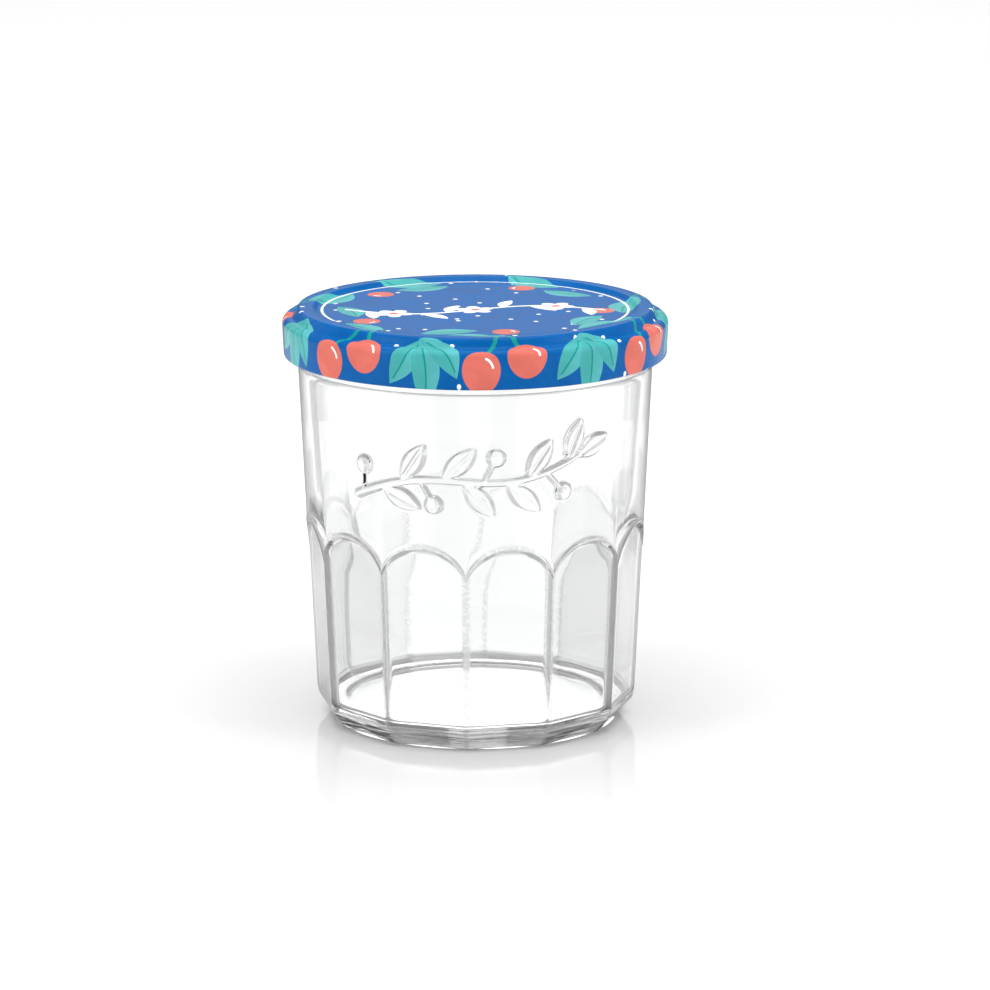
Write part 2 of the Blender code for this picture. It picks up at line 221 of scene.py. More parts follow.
def press(piece, profile, rings, angles):
    """Moves each point of the turned shape to where the ring of its row says, at the angle of its column."""
    count = len(angles)
    rows = {(round(radius, 6), round(height, 6)): i for i, (radius, height) in enumerate(profile)}
    shape = bmesh.new()
    shape.from_mesh(piece.data)
    for corner in shape.verts:
        radius = math.hypot(corner.co.x, corner.co.y)
        if radius < MILLIMETRE * 0.01:
            continue
        row = rows.get((round(radius, 6), round(corner.co.z, 6)))
        if row is None:
            row = min(range(len(profile)), key=lambda i: math.dist(profile[i], (radius, corner.co.z)))
        turned = math.atan2(corner.co.y, corner.co.x) / math.tau * count
        angle = angles[round(turned) % count]
        new_radius, height = rings[row](angle)
        corner.co = (new_radius * math.sin(angle), -new_radius * math.cos(angle), height)
    bmesh.ops.recalc_face_normals(shape, faces=shape.faces)
    shape.to_mesh(piece.data)
    shape.free()


def smooth(piece, degrees):
    """Shades a piece smooth, except at edges sharper than this."""
    deselect_all()
    piece.select_set(True)
    bpy.context.view_layer.objects.active = piece
    bpy.ops.object.shade_smooth_by_angle(angle=math.radians(degrees))


def dress(piece, *materials):
    """Gives a piece these materials in place of what it has."""
    piece.data.materials.clear()
    for material in materials:
        piece.data.materials.append(material)


def ease(share):
    """A share from 0 to 1 that starts and ends gently."""
    share = min(1.0, max(0.0, share))
    return share * share * (3 - 2 * share)


def arc(middle, radius, start, end, steps):
    """Points of (radius, height) on an arc round middle, with angles in degrees from +radius."""
    turns = [math.radians(start + (end - start) * i / steps) for i in range(steps + 1)]
    return [(middle[0] + radius * math.cos(t), middle[1] + radius * math.sin(t)) for t in turns]


# The jar.


def wall_radius(glass, height):
    """The outer radius of the tapered wall at this height."""
    return glass.wall_radius + glass.taper * height


def facet_angle(angle):
    """The angle from the middle of the facet in which this angle lies."""
    return (angle - FRONT_EDGE_ANGLE) % FACET_ANGLE - FACET_ANGLE / 2


def flat_radius(edge_radius, angle, rounding):
    """The radius of a twelve-sided outline, its corners rounded to this radius."""
    half, across = FACET_ANGLE / 2, abs(facet_angle(angle))
    apothem = edge_radius * math.cos(half)
    if apothem * math.tan(across) < (apothem - rounding) * math.tan(half):
        return apothem / math.cos(across)
    centre = (apothem - rounding) / math.cos(half)
    return centre * math.cos(half - across) + math.sqrt(rounding**2 - (centre * math.sin(half - across)) ** 2)


def backwards(angle):
    """0 on the front half of the jar and 1 on the back, with a gentle change at the sides."""
    return ease((0.20 - math.cos(angle)) / 0.40)


def edge_ridge(glass, angle):
    """How far the fine ridge on the edge between two facets stands out. It is worn softer at the back."""
    away = (FACET_ANGLE / 2 - abs(facet_angle(angle))) * glass.wall_radius
    return glass.ridge * (1 - 0.9 * backwards(angle)) * math.exp(-((away / glass.ridge_width) ** 2))


def arch_height(glass, angle):
    """The height at which the arch of the facet meets the round wall."""
    across = facet_angle(angle) / (FACET_ANGLE / 2) * glass.arch_radius * ARCH_SPREAD
    return glass.arch_apex - glass.arch_radius + math.sqrt(glass.arch_radius**2 - across**2)


def arch_rim(glass, above):
    """How far the soft rim along an arch stands out, this far above the arch."""
    return glass.rim * math.exp(-(((above - 0.0001) / glass.rim_width) ** 2))


def scoop_ring(glass, share):
    """A ring on the scoop at the top of the facets, from 0 at its foot to 1 at the arch."""

    def ring(angle):
        across = abs(facet_angle(angle)) / (FACET_ANGLE / 2)
        drop = glass.scoop * (1 - 0.55 * across**2) * (1 + 2.6 * backwards(angle)) * (1 - share)
        height = arch_height(glass, angle) - drop
        wall = wall_radius(glass, height)
        flat = flat_radius(wall, angle, glass.edge_round)
        radius = flat + (wall - flat) * ease(share) + edge_ridge(glass, angle) * (1 - share)
        return radius + arch_rim(glass, -drop) * (1 - backwards(angle)) * ease(share * 1.5), height

    return ring


def facet_ring(glass, share):
    """A ring on the flats, from 0 at the heel to 1 at the foot of the scoop."""
    foot = scoop_ring(glass, 0.0)

    def ring(angle):
        low = glass.heel + 0.0012
        height = low + (foot(angle)[1] - low) * share
        flat = flat_radius(wall_radius(glass, height), angle, glass.edge_round)
        return flat + edge_ridge(glass, angle) * ease(share / 0.05), height

    return ring


def shoulder_ring(glass, above, share):
    """A ring on the round wall: this far above the arches, then this share of the way to a level line."""

    def ring(angle):
        low = arch_height(glass, angle) + above
        height = low + (glass.arch_apex + 0.0022 - low) * share
        rim = arch_rim(glass, height - arch_height(glass, angle)) * (1 - backwards(angle))
        return wall_radius(glass, height) + rim, height

    return ring


def level_ring(radius, height):
    """A round ring at one height."""
    return lambda angle: (radius, height)


def flat_ring(edge_radius, height, rounding):
    """A twelve-sided ring at one height."""
    return lambda angle: (flat_radius(edge_radius, angle, rounding), height)


def rib_ring(glass, side):
    """A ring over the slanting thread ribs, from -1 under them to 1 over them."""

    def ring(angle):
        across = (angle + LUG_ANGLE / 2) % LUG_ANGLE - LUG_ANGLE / 2
        ends = ease((RIB_HALF_ANGLE - abs(across)) / math.radians(5.0))
        height = glass.rib_height + 0.0005 * across / RIB_HALF_ANGLE * ends + 0.0009 * side
        swell = math.sqrt(max(0.0, 1 - side**4)) * ends
        return glass.neck_radius + (glass.rib_radius - glass.neck_radius) * swell, height

    return ring


# The sprig, as a height over the wall at a place (across, up) on its unrolled front.


def stem_point(share):
    """(across, up) on the stem, from 0 at its left end to 1 at its right end."""
    along = 2 * share - 1
    return -0.0020 + 0.0255 * along, 0.0045 * along + 0.0020 * math.sin(math.tau * share)


def stem_angle(share):
    """The direction of the stem there."""
    start, end = stem_point(share - 0.01), stem_point(share + 0.01)
    return math.atan2(end[1] - start[1], end[0] - start[0])


def sprig_parts():
    """The sprig's leaves, berries and ribs, each as a function: the relief at a place, from 0 to 1."""
    shares = [i / 40 for i in range(41)]
    parts = [rib_part([stem_point(share) for share in shares], 0.0012, 0.0008)]
    parts.append(leaf_part(stem_point(0.985), stem_angle(0.985)))
    for number in range(11):
        share = (number + 0.35) / 11
        side = 1 if number % 2 == 0 else -1
        root, stem_turn = stem_point(share), stem_angle(share)
        if number % 3:
            parts.append(leaf_part(root, stem_turn + side * math.radians(44.0)))
            continue
        turn = stem_turn + side * math.radians(66.0)
        end = (root[0] + math.cos(turn) * 0.0062, root[1] + math.sin(turn) * 0.0062)
        parts.append(rib_part([root, end], 0.0006, 0.0006))
        parts.append(berry_part(end, 0.0023))
    return parts


def leaf_part(root, turn):
    """A pointed leaf, domed on each side of a sunk midrib."""
    along, wide = (math.cos(turn), math.sin(turn)), (-math.sin(turn), math.cos(turn))

    def relief(across, up):
        lengthways = ((across - root[0]) * along[0] + (up - root[1]) * along[1]) / 0.0110
        if not 0 < lengthways < 1:
            return 0.0
        crosswise = abs((across - root[0]) * wide[0] + (up - root[1]) * wide[1])
        half = 0.0026 * (1 - (2 * lengthways - 1) ** 2)
        if crosswise >= half:
            return 0.0
        rib = 0.45 * (1 - ease(crosswise / 0.0006))
        return ease((half - crosswise) / 0.0010) * (1 - rib)

    return relief


def berry_part(middle, radius):
    """A round domed berry."""

    def relief(across, up):
        reach = math.hypot(across - middle[0], up - middle[1]) / radius
        return 1.35 * math.sqrt(max(0.0, 1 - reach**2)) * ease((1 - reach) / 0.25) if reach < 1 else 0.0

    return relief


def rib_part(line, start_half, end_half):
    """A rounded rib along this line."""

    def relief(across, up):
        best = 0.0
        for i, (first, last) in enumerate(zip(line, line[1:])):
            run, rise = last[0] - first[0], last[1] - first[1]
            share = ((across - first[0]) * run + (up - first[1]) * rise) / (run**2 + rise**2)
            share = min(1.0, max(0.0, share))
            away = math.hypot(across - first[0] - run * share, up - first[1] - rise * share)
            half = start_half + (end_half - start_half) * (i + share) / (len(line) - 1)
            best = max(best, 1 - (away / half) ** 2)
        return ease(best)

    return relief


def sprig_ring(glass, height, parts):
    """A ring of the round wall, with the sprig standing out from it."""
    radius = wall_radius(glass, height)
    up = height - glass.sprig_height

    def ring(angle):
        turned = (angle + math.pi) % math.tau - math.pi
        across = turned * radius
        if abs(across) > 0.034:
            return radius, height
        return radius + glass.relief * min(1.35, max(part(across, up) for part in parts)), height

    return ring


def jar_columns():
    """Angles of the jar's columns: close together at the facets' edges and over the sprig."""
    edge = [math.radians(degrees) for degrees in (0.0, 0.14, 0.30, 0.48, 0.70, 1.0, 1.4)]
    angles = []
    for facet in range(-6, 6):
        steps = 50 if -2 <= facet <= 1 else 9
        start = edge[-1] + math.radians(0.5)
        inner = [start + (FACET_ANGLE - 2 * start) * i / steps for i in range(steps + 1)]
        here = edge + inner + [FACET_ANGLE - step for step in edge[:0:-1]]
        angles += [FRONT_EDGE_ANGLE + FACET_ANGLE * facet + step for step in here]
    return angles


def jar_rings(glass):
    """The rings of the jar, from the middle of its underside out, up, over the lip and down to its floor."""
    hollow, foot, rounding = glass.foot_hollow, glass.foot_radius, glass.edge_round
    shares = (0.25, 0.5, 0.75, 0.91, 0.93, 0.95, 0.97, 0.985, 1.0)
    rings = [level_ring(hollow * share, glass.push_up * ease((1 - share) / 0.09)) for share in shares]
    rings += [flat_ring(foot - 0.0002, 0.0, rounding)]
    rings += [flat_ring(foot + 0.0005 * s, 0.0004 * s * s, rounding) for s in (0.33, 0.67, 1.0)]
    low_radius, low = foot + 0.0005, 0.0004
    slope = (wall_radius(glass, glass.heel) - low_radius) / (glass.heel - low)
    for share in (0.2, 0.45, 0.7):
        rise = (glass.heel - low) * share
        rings.append(flat_ring(low_radius + slope * rise, low + rise, rounding))
    for share in (0.0, 0.25, 0.5, 0.75, 1.0):
        height = glass.heel * 0.85 + (glass.heel * 0.15 + 0.0012) * share
        chamfer = low_radius + slope * (height - low)
        straight = wall_radius(glass, height)
        blend = 0.00016 * (1 - (2 * share - 1) ** 2)
        rings.append(flat_ring(min(chamfer, straight) - blend, height, rounding))
    rings += [facet_ring(glass, share) for share in (0.02, 0.05, 0.15, 0.35, 0.6, 0.8, 0.93)]
    rings += [scoop_ring(glass, i / 12) for i in range(13)]
    rings += [shoulder_ring(glass, above, 0.0) for above in (0.0002, 0.0004, 0.0006, 0.0009, 0.0012)]
    rings += [shoulder_ring(glass, 0.0012, share) for share in (0.3, 0.65, 1.0)]
    parts = sprig_parts()
    low, high, rows = glass.arch_apex + 0.0026, 0.0750, 84
    rings += [sprig_ring(glass, low + (high - low) * i / rows, parts) for i in range(rows + 1)]
    rings += [level_ring(wall_radius(glass, height), height) for height in (0.0770, 0.0790)]
    rings += bead_rings(glass)
    rings += [rib_ring(glass, side / 8) for side in range(-8, 9)]
    rings += lip_rings(glass)
    return rings + inside_rings(glass)


def bead_rings(glass):
    """The rounded bead under the lid, over a fine groove in the wall."""
    low = wall_radius(glass, glass.bead_height - 0.0012)
    root = low - 0.00012
    groove = ((0.00003, 0.0013), (0.00013, 0.0010), (0.00018, 0.0008), (0.00014, 0.00065))
    rings = [level_ring(low - depth, glass.bead_height - below) for depth, below in groove]
    for degrees in (-60, -40, -20, 0, 25, 50, 75):
        turn = math.radians(degrees)
        radius = root + (glass.bead_radius - root) * math.cos(turn) ** 0.6
        rings.append(level_ring(radius, glass.bead_height + 0.0007 * math.sin(turn)))
    return rings + [level_ring(glass.neck_radius + 0.00005, glass.bead_height + 0.0012)]


def lip_rings(glass):
    """The rounded lip."""
    round_by = 0.0010
    outer = arc((glass.neck_radius - round_by, glass.lip_top - round_by), round_by, 0, 90, 6)
    inner = arc((glass.bore_radius + round_by, glass.lip_top - round_by), round_by, 90, 180, 6)
    return [level_ring(*point) for point in outer + inner]


def inside_rings(glass):
    """The inside of the jar, round at the top and with soft facets lower down, to the floor."""
    deep = glass.thickness
    rings = [level_ring(glass.bore_radius - 0.0002, 0.0865)]
    rings += [level_ring(wall_radius(glass, height) - deep, height) for height in (0.0790, 0.0650, 0.0540)]
    soft = 0.0035
    for share in (0.25, 0.5, 0.75, 1.0):
        height = 0.0500 - 0.0130 * share
        edge = wall_radius(glass, height) - deep

        def ring(angle, edge=edge, share=share, height=height):
            flat = flat_radius(edge, angle, soft)
            return edge + (flat - edge) * ease(share), height

        rings.append(ring)
    corner = glass.floor_corner
    for height in (0.0300, 0.0200, 0.0120, glass.floor + corner):
        rings.append(flat_ring(wall_radius(glass, height) - deep, height, soft))
    edge = wall_radius(glass, glass.floor + corner) - deep
    for degrees in (15, 30, 45, 60, 75, 90):
        turn = math.radians(degrees)
        inwards, down = corner * (1 - math.cos(turn)), corner * math.sin(turn)
        rings.append(flat_ring(edge - inwards, glass.floor + corner - down, soft + inwards * 2))
    rings += [level_ring(edge * 0.80, glass.floor - 0.00003), level_ring(edge * 0.45, glass.floor - 0.00012)]
    return rings


class JAMJAR_OT_glass(bpy.types.Operator):
    """Make the pressed glass jar"""

    bl_idname = "jam_jar.glass"
    bl_label = "Glass jar"
    bl_options = {"REGISTER", "UNDO"}

    def execute(self, context):
        glass = context.scene.jam_jar_glass
        rings, angles = jar_rings(glass), jar_columns()
        middle = FRONT_EDGE_ANGLE + FACET_ANGLE * 5.5
        profile = [ring(middle) for ring in rings]
        poles = [(0.0, glass.push_up)], [(0.0, glass.floor - 0.00015)]
        piece = draw_profile("pressed_jar", poles[0] + profile + poles[1])
        turn_profile(piece, len(angles))
        press(piece, profile, rings, angles)
        smooth(piece, 60)
        dress(piece, glass_material(glass))
        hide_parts("glass_jar")
        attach(piece, "root")
        return {"FINISHED"}


# The lid.


def outside_line(lid):
    """The outside of the lid, from its panel over the rim and the shoulder to the bottom of the skirt."""
    panel, top = lid.top - lid.panel_depth, lid.top
    cove = top - lid.cove_depth
    rim_in, rim_out = lid.panel_radius + 0.0016, lid.radius - 0.0038
    points = [(lid.panel_radius * share, panel) for share in (0.35, 0.7, 0.93)]
    points += [
        (lid.panel_radius + (rim_in - lid.panel_radius) * s, panel + lid.panel_depth * ease(s))
        for s in (0.0, 0.15, 0.3, 0.45, 0.6, 0.75, 0.9, 1.0)
    ]
    points += [(rim_in + 0.0010, top), (rim_out - 0.0002, top)]
    cove_end = lid.radius - 0.0022
    points += [
        (rim_out + (cove_end - rim_out) * s, top - lid.cove_depth * ease(s))
        for s in (0.12, 0.24, 0.36, 0.48, 0.6, 0.72, 0.84, 0.94, 1.0)
    ]
    round_by = 0.0016
    points += arc((lid.radius - round_by, cove - round_by), round_by, 88, 0, 9)
    bottom = lid.bottom + 0.0006
    high = points[-1]
    run, drop = lid.skirt_radius - high[0], bottom - high[1]
    points += [(high[0] + run * s, high[1] + drop * s) for s in (0.2, 0.45, 0.7, 0.88, 1.0)]
    return points


def under_line(line, sheet):
    """The same line one sheet's thickness further in."""
    inner = []
    for i, (radius, height) in enumerate(line):
        before = line[i - 1] if i else (radius - 1, height)
        after = line[i + 1] if i + 1 < len(line) else (radius, height - 1)
        first = math.atan2(height - before[1], radius - before[0])
        second = math.atan2(after[1] - height, after[0] - radius)
        turn = (first + second) / 2
        inner.append((radius + math.sin(turn) * sheet, height - math.cos(turn) * sheet))
    return inner


def hem_line(lid):
    """The rolled hem, from the bottom of the skirt round to its inner side."""
    half = lid.hem_width / 2
    middle = (lid.skirt_radius - half, lid.bottom + half)
    return arc(middle, half, -12, -250, 14)


class JAMJAR_OT_lid(bpy.types.Operator):
    """Make the printed twist-off lid"""

    bl_idname = "jam_jar.lid"
    bl_label = "Lid"
    bl_options = {"REGISTER", "UNDO"}

    def execute(self, context):
        lid, colours = context.scene.jam_jar_lid, context.scene.jam_jar_colours
        outside, hem = outside_line(lid), hem_line(lid)
        inside = under_line(outside, lid.sheet)[:-3]
        profile = outside + hem + inside[::-1]
        poles = [(0.0, outside[0][1])], [(0.0, inside[0][1])]
        piece = draw_profile("printed_lid", poles[0] + profile + poles[1])
        columns = 252
        turn_profile(piece, columns)
        lug_rows = range(len(outside) + 5, len(outside) + len(hem))

        def ring_of(row):
            radius, height = profile[row]
            if row not in lug_rows:
                return lambda angle: (radius, height)

            def ring(angle):
                across = abs((angle + LUG_ANGLE / 2) % LUG_ANGLE - LUG_ANGLE / 2)
                return radius - lid.lug_reach * ease((math.radians(8.5) - across) / math.radians(3.0)), height

            return ring

        angles = [math.tau * i / columns for i in range(columns)]
        press(piece, profile, [ring_of(row) for row in range(len(profile))], angles)
        smooth(piece, 60)
        dress(piece, print_material(colours, lid), lacquer_material(colours))
        centre_line = sorted((radius, height) for radius, height in outside)
        starts = [radius for radius, height in centre_line]
        for face in piece.data.polygons:
            radius = math.hypot(face.center.x, face.center.y)
            if face.center.z < lid.bottom + lid.hem_width:
                printed = radius > lid.skirt_radius - lid.hem_width * 0.35
            elif radius > lid.skirt_radius - lid.sheet * 0.4:
                printed = True
            elif face.center.z < lid.top - lid.cove_depth - 0.0016:
                printed = False
            else:
                i = min(bisect.bisect_left(starts, radius), len(starts) - 1)
                printed = face.normal.z > 0 or face.center.z > centre_line[i][1] + 0.0001
            face.material_index = 0 if printed else 1
        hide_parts("lid")
        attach(piece, "root")
        return {"FINISHED"}


class JAMJAR_OT_seal(bpy.types.Operator):
    """Give the sealing ring its finish"""

    bl_idname = "jam_jar.seal"
    bl_label = "Sealing ring"
    bl_options = {"REGISTER", "UNDO"}

    def execute(self, context):
        dress(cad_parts["lid_seal"], seal_material(context.scene.jam_jar_colours))
        return {"FINISHED"}


# Shader nodes.


class Nodes:
    """Adds nodes to a tree and links them. An input is a value, a vector or another node's output."""

    def __init__(self, tree):
        self.tree = tree

    def feed(self, inputs, values):
        """Links each value to the input of its name or number, or sets it there."""
        for key, value in dict(values).items():
            if isinstance(value, bpy.types.NodeSocket):
                self.tree.links.new(value, inputs[key])
            else:
                inputs[key].default_value = value

    def add(self, kind, inputs=(), output=0, **settings):
        node = self.tree.nodes.new(kind)
        for name, value in settings.items():
            setattr(node, name, value)
        self.feed(node.inputs, inputs)
        return node.outputs[output]

    def use(self, tree, inputs):
        """A node of this group with these inputs, and its outputs by name."""
        node = self.tree.nodes.new("ShaderNodeGroup")
        node.node_tree = tree
        self.feed(node.inputs, inputs)
        return node.outputs

    def math(self, operation, first, second=0.0):
        return self.add("ShaderNodeMath", {0: first, 1: second}, operation=operation)

    def plus(self, first, second):
        return self.math("ADD", first, second)

    def minus(self, first, second):
        return self.math("SUBTRACT", first, second)

    def times(self, first, *others):
        for other in others:
            first = self.math("MULTIPLY", first, other)
        return first

    def absolute(self, value):
        return self.math("ABSOLUTE", value)

    def vector(self, operation, first, second=(0, 0, 0)):
        output = "Value" if operation == "LENGTH" else "Vector"
        return self.add("ShaderNodeVectorMath", {0: first, 1: second}, output, operation=operation)

    def scale(self, first, factor):
        return self.add("ShaderNodeVectorMath", {0: first, 3: factor}, operation="SCALE")

    def split(self, vector):
        """The x, y and z of a vector."""
        return self.add("ShaderNodeSeparateXYZ", {0: vector}).node.outputs

    def ramp(self, value, low, high, start=0.0, end=1.0):
        """start where value is below low, changing gently to end where it is above high."""
        inputs = {0: value, 1: low, 2: high, 3: start, 4: end}
        return self.add("ShaderNodeMapRange", inputs, interpolation_type="SMOOTHSTEP")

    def under(self, value, edge, soft):
        """1 where value is below edge, falling to 0 over this softness."""
        return self.ramp(value, edge - soft, edge + soft, 1.0, 0.0)

    def near(self, value, middle, half, soft):
        """1 where value is less than half from middle, falling to 0 over this softness."""
        return self.under(self.absolute(self.minus(value, middle)), half, soft)

    def blend(self, share, first, second):
        """The value first where share is 0 and second where it is 1."""
        return self.add("ShaderNodeMix", {"Factor": share, 2: first, 3: second}, data_type="FLOAT")

    def paint(self, mask, below, above):
        """The colour above where mask is 1 and below where it is 0."""
        inputs = {"Factor": mask, 6: below, 7: above}
        return self.add("ShaderNodeMix", inputs, 2, data_type="RGBA", clamp_factor=True)

    def noise(self, place, scale, detail):
        return self.add("ShaderNodeTexNoise", {"Vector": place, "Scale": scale, "Detail": detail})

    def bump(self, height, strength, depth):
        return self.add("ShaderNodeBump", {"Height": height, "Strength": strength, "Distance": depth})


def new_material(name):
    """An empty material, its nodes, and the inputs of its Principled shader."""
    material = bpy.data.materials.new(name)
    material.use_nodes = True
    return material, Nodes(material.node_tree), material.node_tree.nodes["Principled BSDF"].inputs


def group(name, inputs, outputs):
    """A new group's nodes, inputs and outputs. All of them are values, apart from the vector Place."""
    tree = bpy.data.node_groups.new(name, "ShaderNodeTree")
    for sockets, side in ((inputs, "INPUT"), (outputs, "OUTPUT")):
        for socket in sockets:
            kind = "NodeSocketVector" if socket == "Place" else "NodeSocketFloat"
            tree.interface.new_socket(socket, in_out=side, socket_type=kind)
    entry, out = tree.nodes.new("NodeGroupInput"), tree.nodes.new("NodeGroupOutput")
    return Nodes(tree), entry.outputs, out.inputs


def shared(name, make):
    """The node group of this name, made the first time that it is asked for."""
    return bpy.data.node_groups.get(name) or make()


def motif_group(name, sizes, outputs):
    """A group for one printed motif: its nodes, its inputs and outputs, and its own x and y."""
    nodes, given, out = group(name, ("X", "Y", "Middle X", "Middle Y", "Turn", *sizes), outputs)
    cosine, sine = nodes.math("COSINE", given["Turn"]), nodes.math("SINE", given["Turn"])
    x, y = nodes.minus(given["X"], given["Middle X"]), nodes.minus(given["Y"], given["Middle Y"])
    along = nodes.plus(nodes.times(x, cosine), nodes.times(y, sine))
    aside = nodes.minus(nodes.times(y, cosine), nodes.times(x, sine))
    return nodes, given, out, along, aside


def leaf_group():
    """A printed leaf: its outline, its darker half, and its midrib."""
    made = motif_group("printed_leaf", ("Length", "Width"), ("Leaf", "Half", "Rib"))
    nodes, given, out, along, aside = made
    bowed = nodes.math("DIVIDE", along, nodes.times(given["Length"], 0.5))
    room = nodes.minus(1.0, nodes.times(bowed, bowed))
    aside = nodes.minus(aside, nodes.times(room, nodes.times(given["Width"], 0.18)))
    half_width = nodes.times(room, nodes.times(given["Width"], 0.5))
    leaf = nodes.under(nodes.minus(nodes.absolute(aside), half_width), 0.0, INK_EDGE)
    rib = nodes.under(nodes.absolute(aside), 0.22, INK_EDGE)
    rib = nodes.times(rib, nodes.under(nodes.absolute(bowed), 0.80, 0.03))
    half = nodes.under(aside, 0.0, INK_EDGE)
    nodes.feed(out, {"Leaf": leaf, "Half": nodes.times(leaf, half), "Rib": nodes.times(leaf, rib)})
    return nodes.tree


def distance(nodes, x, y):
    """How far this place is from the middle."""
    return nodes.math("SQRT", nodes.plus(nodes.times(x, x), nodes.times(y, y)))


def blossom_group():
    """A printed blossom with five petals: its outline, and its middle."""
    nodes, given, out, x, y = motif_group("printed_blossom", ("Radius",), ("Petals", "Eye"))
    wave = nodes.absolute(nodes.math("COSINE", nodes.times(nodes.math("ARCTAN2", y, x), 2.5)))
    reach = nodes.times(nodes.plus(nodes.times(wave, 0.42), 0.58), given["Radius"])
    away = distance(nodes, x, y)
    petals = nodes.under(nodes.minus(away, reach), 0.0, INK_EDGE)
    eye = nodes.under(nodes.minus(away, nodes.times(given["Radius"], 0.24)), 0.0, INK_EDGE)
    nodes.feed(out, {"Petals": petals, "Eye": eye})
    return nodes.tree


def cherry_group():
    """A printed cherry: its disc, and the light on it."""
    nodes, given, out, x, y = motif_group("printed_cherry", ("Radius",), ("Disc", "Light"))
    away = distance(nodes, x, y)
    disc = nodes.under(nodes.minus(away, given["Radius"]), 0.0, INK_EDGE)
    ring = nodes.near(away, nodes.times(given["Radius"], 0.62), 0.26, INK_EDGE)
    light = nodes.times(ring, nodes.under(nodes.absolute(nodes.math("ARCTAN2", y, x)), 0.50, 0.05))
    nodes.feed(out, {"Disc": disc, "Light": light})
    return nodes.tree


def grain_group():
    """The fine unevenness of a finish: a height, and a value that changes slowly over the surface."""
    nodes, given, out = group("finish_grain", ("Place", "Scale"), ("Height", "Drift"))
    height = nodes.noise(given["Place"], given["Scale"], 3.0)
    drift = nodes.noise(given["Place"], nodes.times(given["Scale"], 0.12), 2.0)
    nodes.feed(out, {"Height": height, "Drift": drift})
    return nodes.tree


def grain(nodes, scale):
    """The grain's outputs at this scale on the object."""
    return nodes.use(shared("finish_grain", grain_group), {"Place": object_place(nodes), "Scale": scale})


def object_place(nodes):
    """The place on the object, in millimetres."""
    return nodes.scale(nodes.add("ShaderNodeTexCoord", output="Object"), 1000.0)


def sheet_place(nodes, lid):
    """The place on the flat sheet that the lid was pressed from: down the skirt is outwards on the sheet."""
    place = object_place(nodes)
    level = nodes.vector("MULTIPLY", place, (1, 1, 0))
    top = (lid.top - lid.panel_depth) * 1000
    drop = nodes.math("MAXIMUM", nodes.minus(top, nodes.split(place)[2]), 0.0)
    reach = nodes.plus(nodes.vector("LENGTH", level), drop)
    return nodes.scale(nodes.vector("NORMALIZE", level), reach), reach


# The printing, with places and sizes in millimetres on the flat sheet.


def on_sheet(degrees, reach):
    """The place at this angle from the front and this far from the middle of the sheet."""
    turn = math.radians(degrees)
    return reach * math.sin(turn), -reach * math.cos(turn)


def beyond(place, turn, length):
    """The place this far from another one."""
    return place[0] + math.cos(turn) * length, place[1] + math.sin(turn) * length


def motif_plan():
    """The printed motifs, as (kind, middle, turn, sizes): cherries in pairs between fans of three leaves."""
    plan = []
    for number in range(PRINT_GROUPS):
        degrees = 360 / PRINT_GROUPS * number + 9.0
        lean = 7.0 * math.sin(2.3 * number)
        outwards = math.radians(degrees - 90)
        low, side = on_sheet(degrees - 7.0 + lean * 0.3, 48.6), on_sheet(degrees + 6.4 + lean * 0.3, 45.6)
        knot = on_sheet(degrees + lean, 35.5)
        for middle in (low, side):
            run, rise = middle[0] - knot[0], middle[1] - knot[1]
            between = ((middle[0] + knot[0]) / 2, (middle[1] + knot[1]) / 2)
            plan.append(("stalk", between, math.atan2(rise, run), (math.hypot(run, rise), 1.0)))
            plan.append(("cherry", middle, outwards + 2.2, (4.7,)))
        turn = outwards + math.radians(62 + lean)
        plan.append(("leaf", on_sheet(degrees + lean - 10.0, 34.6), turn, (15.5, 7.0)))
        between_groups = degrees + 180 / PRINT_GROUPS
        for spread in (-1, 0, 1):
            turn = math.radians(between_groups - 90 + spread * 40 + lean)
            size = (14.0, 6.2) if spread else (16.5, 7.0)
            root = on_sheet(between_groups, 40.5 - abs(spread) * 1.0)
            plan.append(("leaf", beyond(root, turn, size[0] / 2), turn, size))
    for number in range(5):
        degrees = 72.0 * number + 205.0
        turn = math.radians(degrees + 14 * (number % 3))
        plan.append(("leaf", on_sheet(degrees, 28.5), turn, (13.0, 5.6)))
        plan.append(("cherry", on_sheet(degrees + 25.0, 28.0), math.radians(degrees + 40), (3.0,)))
    return plan


def white_plan():
    """The white blossoms and line leaves of the spray across the panel."""
    plan = []
    for number in range(9):
        along = -24.0 + 6.0 * number
        middle = (along, SPRAY_MIDDLE + SPRAY_RISE * math.sin(along / SPRAY_WAVE))
        slope = math.atan(SPRAY_RISE / SPRAY_WAVE * math.cos(along / SPRAY_WAVE))
        if number % 3 == 1:
            plan.append(("blossom", middle, slope, (4.3,)))
            continue
        turn = slope + (0.9 if number % 2 else -0.9)
        plan.append(("spray", beyond(middle, turn, 4.2), turn, (8.6, 3.0)))
    return plan


# The group of each kind of motif, the names of its sizes, and the mask that each of its outputs joins.
MOTIFS = {
    "leaf": ("printed_leaf", leaf_group, ("Length", "Width"), {"Leaf": "leaf", "Half": "half", "Rib": "rib"}),
    "stalk": ("printed_leaf", leaf_group, ("Length", "Width"), {"Leaf": "stalk"}),
    "spray": ("printed_leaf", leaf_group, ("Length", "Width"), {"Leaf": "white"}),
    "cherry": ("printed_cherry", cherry_group, ("Radius",), {"Disc": "disc", "Light": "light"}),
    "blossom": ("printed_blossom", blossom_group, ("Radius",), {"Petals": "white", "Eye": "eye"}),
}


